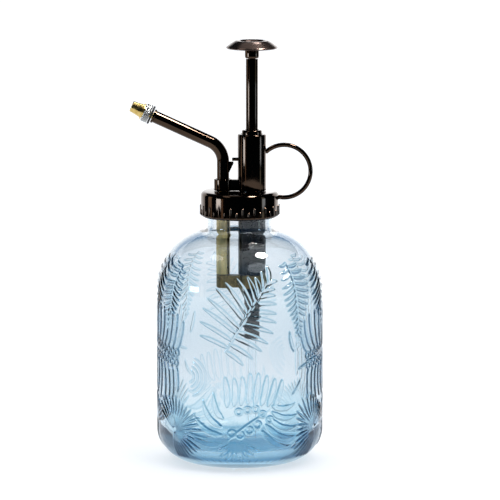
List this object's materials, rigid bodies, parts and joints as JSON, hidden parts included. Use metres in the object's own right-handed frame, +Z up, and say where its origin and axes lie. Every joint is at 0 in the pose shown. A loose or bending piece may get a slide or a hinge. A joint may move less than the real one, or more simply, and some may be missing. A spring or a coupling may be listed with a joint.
{
  "type": "hand mister",
  "caption": "Glass plant mister: blue glass bottle, screw-on plunger pump with push knob, finger loop, bent spout and a small brass spray nozzle.",
  "frame": {"origin": "on the bottle's axis, level with the ring that it stands on", "axes": "+Z up through the neck and plunger; -X the way the spout points; +X towards the finger loop"},
  "size_m": [0.0926, 0.0794, 0.2033],
  "materials": {
    "blue_glass": "polished, pale blue",
    "dark_bronze": "mirror-bright dark bronze plating",
    "black_plastic": "satin",
    "clear_plastic": "milky",
    "black_rubber": "matte",
    "white_plastic": "satin",
    "brass": "bright turned",
    "nickel": "bright, toothed",
    "steel": "bright wire and turned stainless steel"
  },
  "bodies": {
    "bottle": {"glass_bottle": "blue_glass"},
    "neck_seal": {"neck_gasket": "white_plastic"},
    "pump_head": {"screw_cap": "dark_bronze", "threaded_insert": "black_plastic", "barrel_casing": "dark_bronze", "gland_nut": "dark_bronze", "rod_seal": "black_rubber", "finger_loop": "dark_bronze", "pump_cylinder": "black_plastic", "riser_tube": "dark_bronze", "valve_block": "dark_bronze", "intake_housing": "black_plastic", "dip_tube": "clear_plastic", "return_spring": "steel", "spout": "dark_bronze", "spout_seal": "black_rubber", "seat_washer": "black_rubber", "nozzle_spigot": "brass"},
    "plunger": {"plunger_rod": "dark_bronze", "knob_collar": "dark_bronze", "knob": "dark_bronze", "piston": "white_plastic", "piston_cup": "black_rubber", "piston_nut": "steel"},
    "inlet_valve": {"inlet_ball": "steel"},
    "outlet_valve": {"outlet_ball": "steel"},
    "nozzle_core": {"swirl_core": "white_plastic"},
    "nozzle": {"nozzle_cap": "brass", "nozzle_grip": "nickel"}
  },
  "joints": [
    {"name": "cap_rise", "type": "slide", "parent": "bottle", "child": "neck_seal", "axis": [0, 0, 1], "range_m": [0, 0.0063]},
    {"name": "cap_turn", "type": "hinge", "parent": "neck_seal", "child": "pump_head", "pos_m": [0, 0, 0.1309], "axis": [0, 0, 1], "range_deg": [0, 540]},
    {"name": "plunger_stroke", "type": "slide", "parent": "pump_head", "child": "plunger", "axis": [0, 0, -1], "range_m": [0, 0.033], "stiffness_N_per_m": 200, "springref_m": -0.02, "deforming": ["return_spring"]},
    {"name": "inlet_lift", "type": "slide", "parent": "pump_head", "child": "inlet_valve", "axis": [0, 0, 1], "range_m": [0, 0.0015]},
    {"name": "outlet_lift", "type": "slide", "parent": "pump_head", "child": "outlet_valve", "axis": [0, 0, 1], "range_m": [0, 0.0015]},
    {"name": "nozzle_travel", "type": "slide", "parent": "pump_head", "child": "nozzle_core", "axis": [-0.91, 0, 0.4147], "range_m": [0, 0.00105]},
    {"name": "nozzle_turn", "type": "hinge", "parent": "nozzle_core", "child": "nozzle", "pos_m": [-0.008, 0, 0.1518], "axis": [-0.91, 0, 0.4147], "range_deg": [0, 540]}
  ],
  "couplings": [
    {"joint": "cap_turn", "follows": "cap_rise", "rad_per_m": 1496},
    {"joint": "nozzle_turn", "follows": "nozzle_travel", "rad_per_m": 8975.9}
  ]
}
